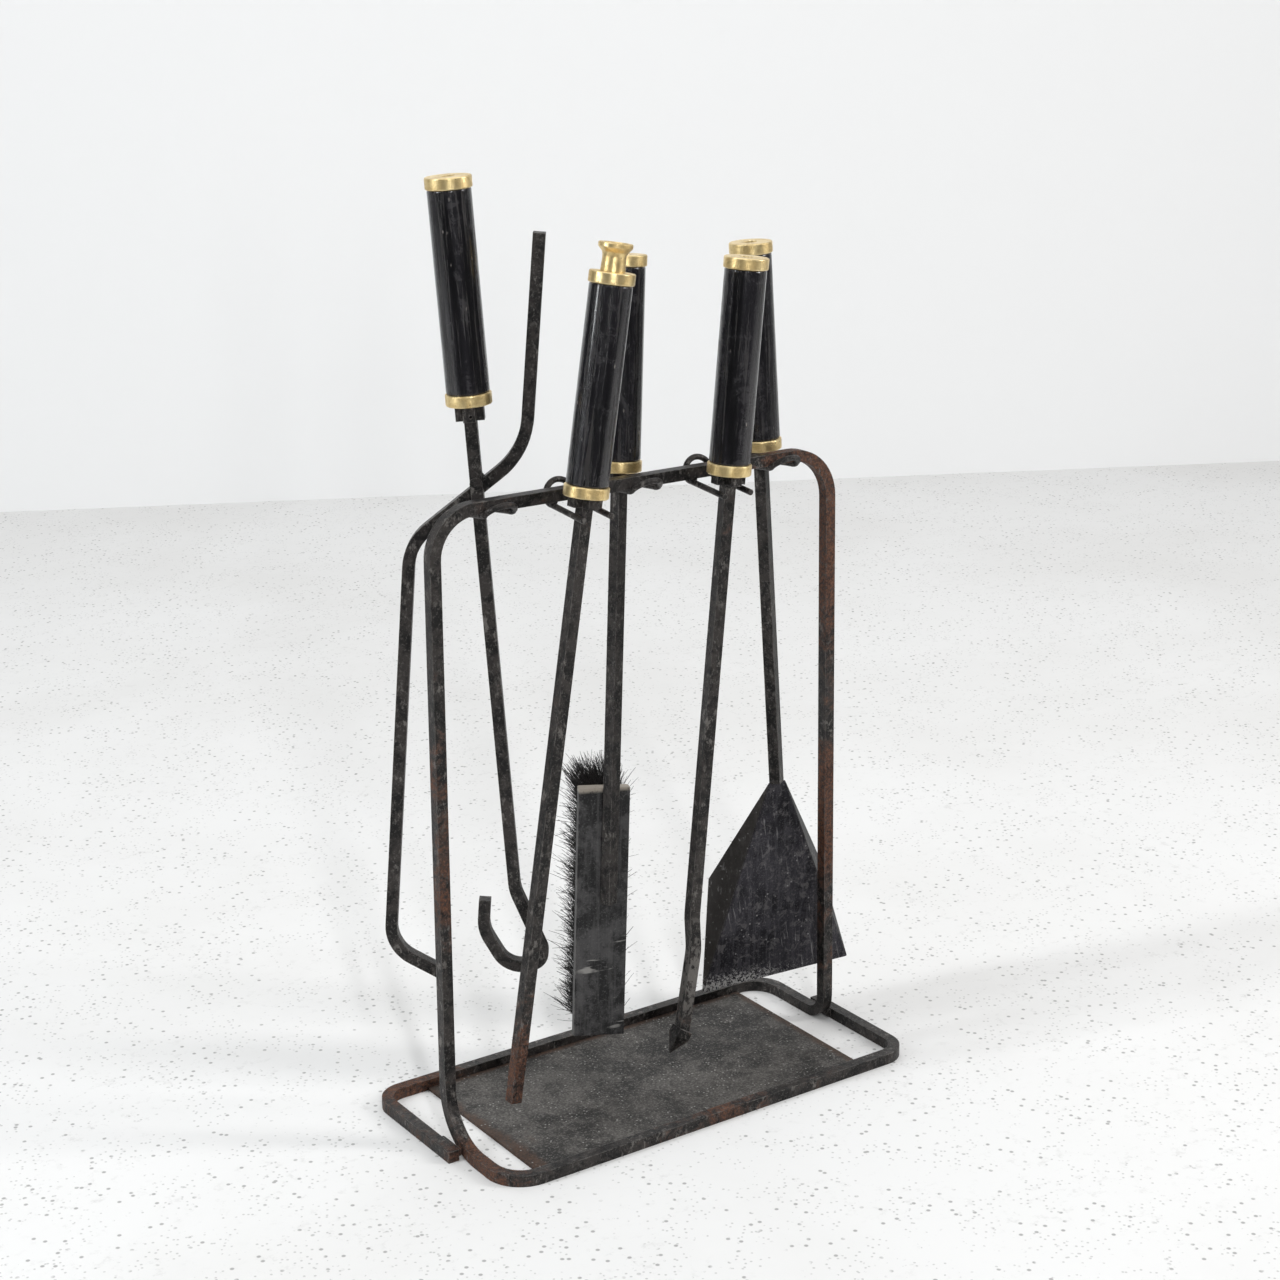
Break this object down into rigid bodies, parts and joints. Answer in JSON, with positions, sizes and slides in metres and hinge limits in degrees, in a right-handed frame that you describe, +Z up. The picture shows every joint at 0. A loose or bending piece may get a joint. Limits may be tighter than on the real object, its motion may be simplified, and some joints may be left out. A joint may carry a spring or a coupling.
{
  "type": "fireplace tool set",
  "caption": "Fireplace companion set: bent square-bar iron stand with wire hooks and ash plate, holding tongs, blow poker, brush, poker and shovel with black wood grips and brass ends.",
  "frame": {"origin": "centre of the stand's footprint, on the floor", "axes": "+Z up, +X along the stand to the right, +Y to the back; the blow poker and the poker hang in front"},
  "size_m": [0.3673, 0.164, 0.6364],
  "materials": {
    "blackened_iron": "blackened iron, satin, rubbed, with brown rust",
    "sheet_iron": "blackened sheet, matt and mottled with ash",
    "blade_steel": "blackened sheet, satin, scratched, bright at the lip",
    "aged_brass": "aged brass with dark patina and rubbed edges",
    "black_wood": "black lacquered wood, glossy, with fine grain",
    "brush_back": "black painted wood, worn and scratched",
    "black_bristle": "stiff black hair, uneven at the tips"
  },
  "bodies": {
    "stand": {"stand_bar": "blackened_iron", "ash_plate": "sheet_iron", "hook_tongs": "blackened_iron", "hook_blow": "blackened_iron", "hook_brush": "blackened_iron", "hook_poker": "blackened_iron", "hook_shovel": "blackened_iron"},
    "tongs": {"tongs_cap": "aged_brass", "tongs_handle": "black_wood", "tongs_ferrule": "aged_brass", "tongs_collar": "blackened_iron", "tongs_arm": "blackened_iron", "tongs_rivet": "blackened_iron"},
    "tongs_lever": {"tongs_lever": "blackened_iron"},
    "blow_poker": {"blow_mouthpiece": "aged_brass", "blow_cap": "aged_brass", "blow_handle": "black_wood", "blow_ferrule": "aged_brass", "blow_collar": "blackened_iron", "blow_tube": "blackened_iron"},
    "brush": {"brush_cap": "aged_brass", "brush_handle": "black_wood", "brush_ferrule": "aged_brass", "brush_collar": "blackened_iron", "brush_shaft": "blackened_iron", "brush_block": "brush_back", "brush_bristles": "black_bristle"},
    "poker": {"poker_cap": "aged_brass", "poker_handle": "black_wood", "poker_ferrule": "aged_brass", "poker_collar": "blackened_iron", "poker_shaft": "blackened_iron"},
    "shovel": {"shovel_cap": "aged_brass", "shovel_handle": "black_wood", "shovel_ferrule": "aged_brass", "shovel_collar": "blackened_iron", "shovel_shaft": "blackened_iron", "shovel_blade": "blade_steel"}
  },
  "joints": [
    {"name": "tongs_lift_off", "type": "slide", "parent": "stand", "child": "tongs", "axis": [0, 1, 0], "range_m": [0, 0.07]},
    {"name": "blow_poker_lift_off", "type": "slide", "parent": "stand", "child": "blow_poker", "axis": [0, -1, 0], "range_m": [0, 0.07]},
    {"name": "brush_lift_off", "type": "slide", "parent": "stand", "child": "brush", "axis": [0, 1, 0], "range_m": [0, 0.07]},
    {"name": "poker_lift_off", "type": "slide", "parent": "stand", "child": "poker", "axis": [0, -1, 0], "range_m": [0, 0.07]},
    {"name": "shovel_lift_off", "type": "slide", "parent": "stand", "child": "shovel", "axis": [0, 1, 0], "range_m": [0, 0.07]},
    {"name": "tongs_grip", "type": "hinge", "parent": "tongs", "child": "tongs_lever", "pos_m": [-0.11322, 0.02055, 0.44319], "axis": [0.5678, 0.8231, 0], "range_deg": [-4.5, 8]}
  ]
}
